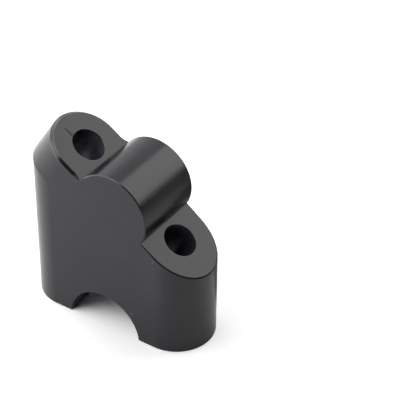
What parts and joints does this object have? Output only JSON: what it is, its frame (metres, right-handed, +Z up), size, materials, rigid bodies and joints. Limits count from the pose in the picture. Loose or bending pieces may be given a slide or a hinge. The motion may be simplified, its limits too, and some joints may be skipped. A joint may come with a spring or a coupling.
{
  "type": "motorcycle handlebar riser",
  "caption": "One-piece handlebar riser with a half-round clamp boss on a sloping bolted flange and a bar saddle between two tapped feet.",
  "frame": {"origin": "under the middle of the bar saddle, level with the feet and midway across the body", "axes": "+X along the body toward the tall end, +Y along the handlebar, +Z up from the feet to the boss"},
  "size_m": [0.0537, 0.0212, 0.0538],
  "materials": {
    "black_anodised_aluminium": "satin black anodised over fine milling marks, rubbed lighter along the chamfered rim"
  },
  "bodies": {
    "root": {"riser_body": "black_anodised_aluminium"}
  },
  "joints": []
}
